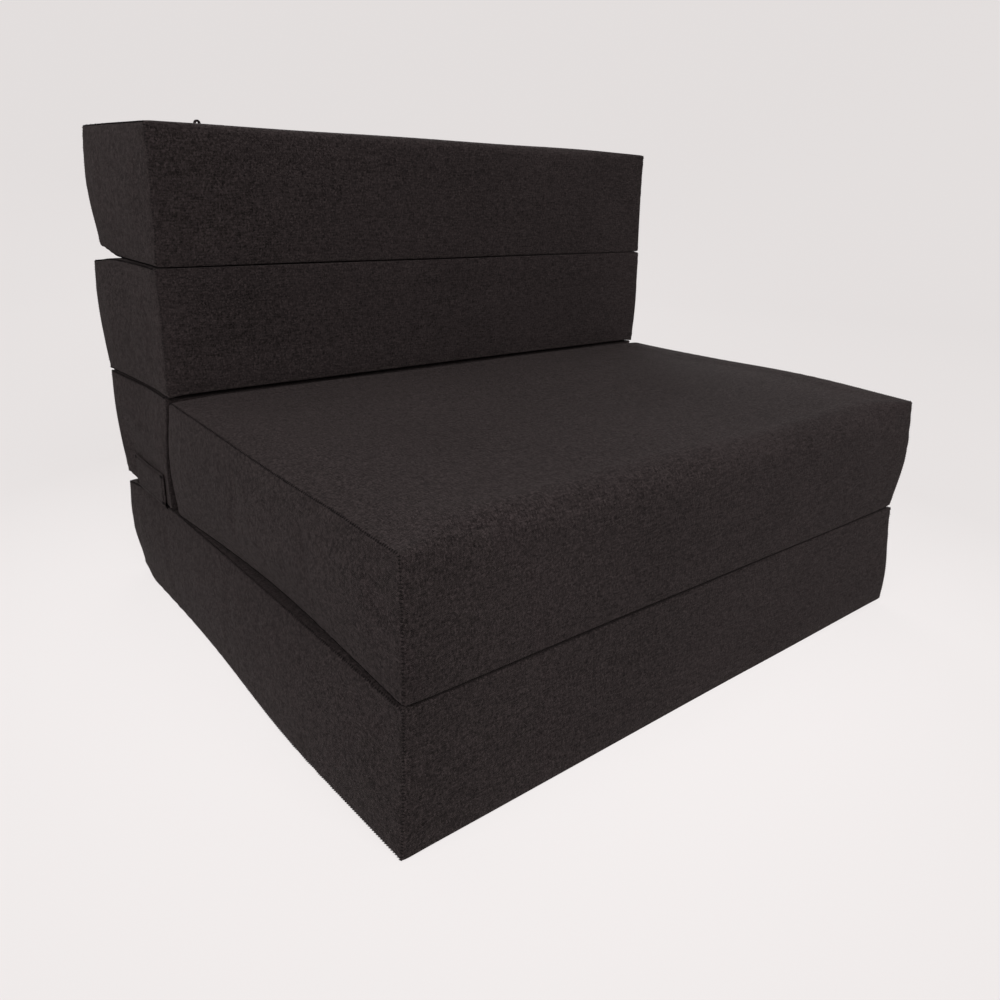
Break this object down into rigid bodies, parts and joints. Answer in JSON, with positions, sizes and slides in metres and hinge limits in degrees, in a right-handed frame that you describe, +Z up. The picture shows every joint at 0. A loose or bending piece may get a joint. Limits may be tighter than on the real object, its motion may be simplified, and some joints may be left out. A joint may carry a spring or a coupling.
{
  "type": "futon mattress",
  "caption": "Folding foam mattress: covered blocks sewn edge to edge and folded up into a low chair, with zipped covers and hook-and-loop side tabs.",
  "frame": {"origin": "on the floor, under the middle of the base block", "axes": "+X to the right seen from the front, along the width; +Y from front to rear; +Z up"},
  "size_m": [0.8214, 0.7138, 0.6205],
  "materials": {
    "foam": "matte",
    "cover_cloth": "matte",
    "tape_cloth": "matte",
    "tab_cloth": "matte",
    "hook_and_loop": "matte",
    "zip_teeth": "satin",
    "zip_metal": "satin"
  },
  "bodies": {
    "base": {"base_foam": "foam", "base_wrap": "cover_cloth", "base_left_end": "cover_cloth", "base_right_end": "cover_cloth", "base_zip_tape": "tape_cloth", "base_zip_teeth": "zip_teeth", "seat_fold_tape": "tape_cloth"},
    "seat": {"seat_foam": "foam", "seat_wrap": "cover_cloth", "seat_left_end": "cover_cloth", "seat_right_end": "cover_cloth", "seat_zip_tape": "tape_cloth", "seat_zip_teeth": "zip_teeth", "back_fold_tape": "tape_cloth"},
    "back_lower": {"lower_foam": "foam", "lower_wrap": "cover_cloth", "lower_left_end": "cover_cloth", "lower_right_end": "cover_cloth", "lower_zip_tape": "tape_cloth", "lower_zip_teeth": "zip_teeth", "middle_fold_tape": "tape_cloth", "left_hook_patch": "hook_and_loop", "right_hook_patch": "hook_and_loop"},
    "back_middle": {"middle_foam": "foam", "middle_wrap": "cover_cloth", "middle_left_end": "cover_cloth", "middle_right_end": "cover_cloth", "middle_zip_tape": "tape_cloth", "middle_zip_teeth": "zip_teeth", "upper_fold_tape": "tape_cloth"},
    "back_upper": {"upper_foam": "foam", "upper_wrap": "cover_cloth", "upper_left_end": "cover_cloth", "upper_right_end": "cover_cloth", "upper_zip_tape": "tape_cloth", "upper_zip_teeth": "zip_teeth", "upper_loop": "tab_cloth"},
    "left_tab": {"left_tab": "tab_cloth", "left_loop_patch": "hook_and_loop"},
    "right_tab": {"right_tab": "tab_cloth", "right_loop_patch": "hook_and_loop"},
    "base_zip_slider": {"base_zip_slider": "zip_metal"},
    "base_zip_pull": {"base_zip_pull": "zip_metal"},
    "seat_zip_slider": {"seat_zip_slider": "zip_metal"},
    "seat_zip_pull": {"seat_zip_pull": "zip_metal"},
    "lower_zip_slider": {"lower_zip_slider": "zip_metal"},
    "lower_zip_pull": {"lower_zip_pull": "zip_metal"},
    "middle_zip_slider": {"middle_zip_slider": "zip_metal"},
    "middle_zip_pull": {"middle_zip_pull": "zip_metal"},
    "upper_zip_slider": {"upper_zip_slider": "zip_metal"},
    "upper_zip_pull": {"upper_zip_pull": "zip_metal"}
  },
  "joints": [
    {"name": "seat_fold", "type": "hinge", "parent": "base", "child": "seat", "pos_m": [0, -0.35625, 0.15075], "axis": [1, 0, 0], "range_deg": [0, 180]},
    {"name": "back_fold", "type": "hinge", "parent": "seat", "child": "back_lower", "pos_m": [0, 0.15225, 0.30225], "axis": [-1, 0, 0], "range_deg": [-90, 0]},
    {"name": "middle_fold", "type": "hinge", "parent": "back_lower", "child": "back_middle", "pos_m": [0, 0.35625, 0.30225], "axis": [-1, 0, 0], "range_deg": [0, 180]},
    {"name": "upper_fold", "type": "hinge", "parent": "back_middle", "child": "back_upper", "pos_m": [0, 0.15225, 0.45375], "axis": [1, 0, 0], "range_deg": [0, 180], "deforming": ["upper_loop"]},
    {"name": "left_tab_fold", "type": "hinge", "parent": "base", "child": "left_tab", "pos_m": [-0.40995, 0.253, 0.15], "axis": [0, -1, 0], "range_deg": [0, 170]},
    {"name": "right_tab_fold", "type": "hinge", "parent": "base", "child": "right_tab", "pos_m": [0.40995, 0.253, 0.15], "axis": [0, 1, 0], "range_deg": [0, 170]},
    {"name": "base_zip_slide", "type": "slide", "parent": "base", "child": "base_zip_slider", "axis": [1, 0, 0], "range_m": [0, 0.5404]},
    {"name": "base_pull_turn", "type": "hinge", "parent": "base_zip_slider", "child": "base_zip_pull", "pos_m": [-0.2702, 0.3534, 0.075], "axis": [0, 0, 1], "range_deg": [0, 180]},
    {"name": "seat_zip_slide", "type": "slide", "parent": "seat", "child": "seat_zip_slider", "axis": [0, -1, 0], "range_m": [0, 0.3204]},
    {"name": "seat_pull_turn", "type": "hinge", "parent": "seat_zip_slider", "child": "seat_zip_pull", "pos_m": [0.4044, 0.0582, 0.2265], "axis": [0, 0, 1], "range_deg": [0, 180]},
    {"name": "lower_zip_slide", "type": "slide", "parent": "back_lower", "child": "lower_zip_slider", "axis": [1, 0, 0], "range_m": [0, 0.5404]},
    {"name": "lower_pull_turn", "type": "hinge", "parent": "lower_zip_slider", "child": "lower_zip_pull", "pos_m": [-0.2702, 0.3534, 0.2265], "axis": [0, 0, 1], "range_deg": [0, 180]},
    {"name": "middle_zip_slide", "type": "slide", "parent": "back_middle", "child": "middle_zip_slider", "axis": [1, 0, 0], "range_m": [0, 0.5404]},
    {"name": "middle_pull_turn", "type": "hinge", "parent": "middle_zip_slider", "child": "middle_zip_pull", "pos_m": [-0.2702, 0.3534, 0.378], "axis": [0, 0, 1], "range_deg": [0, 180]},
    {"name": "upper_zip_slide", "type": "slide", "parent": "back_upper", "child": "upper_zip_slider", "axis": [1, 0, 0], "range_m": [0, 0.5404]},
    {"name": "upper_pull_turn", "type": "hinge", "parent": "upper_zip_slider", "child": "upper_zip_pull", "pos_m": [-0.2702, 0.3534, 0.5295], "axis": [0, 0, 1], "range_deg": [0, 180]}
  ]
}
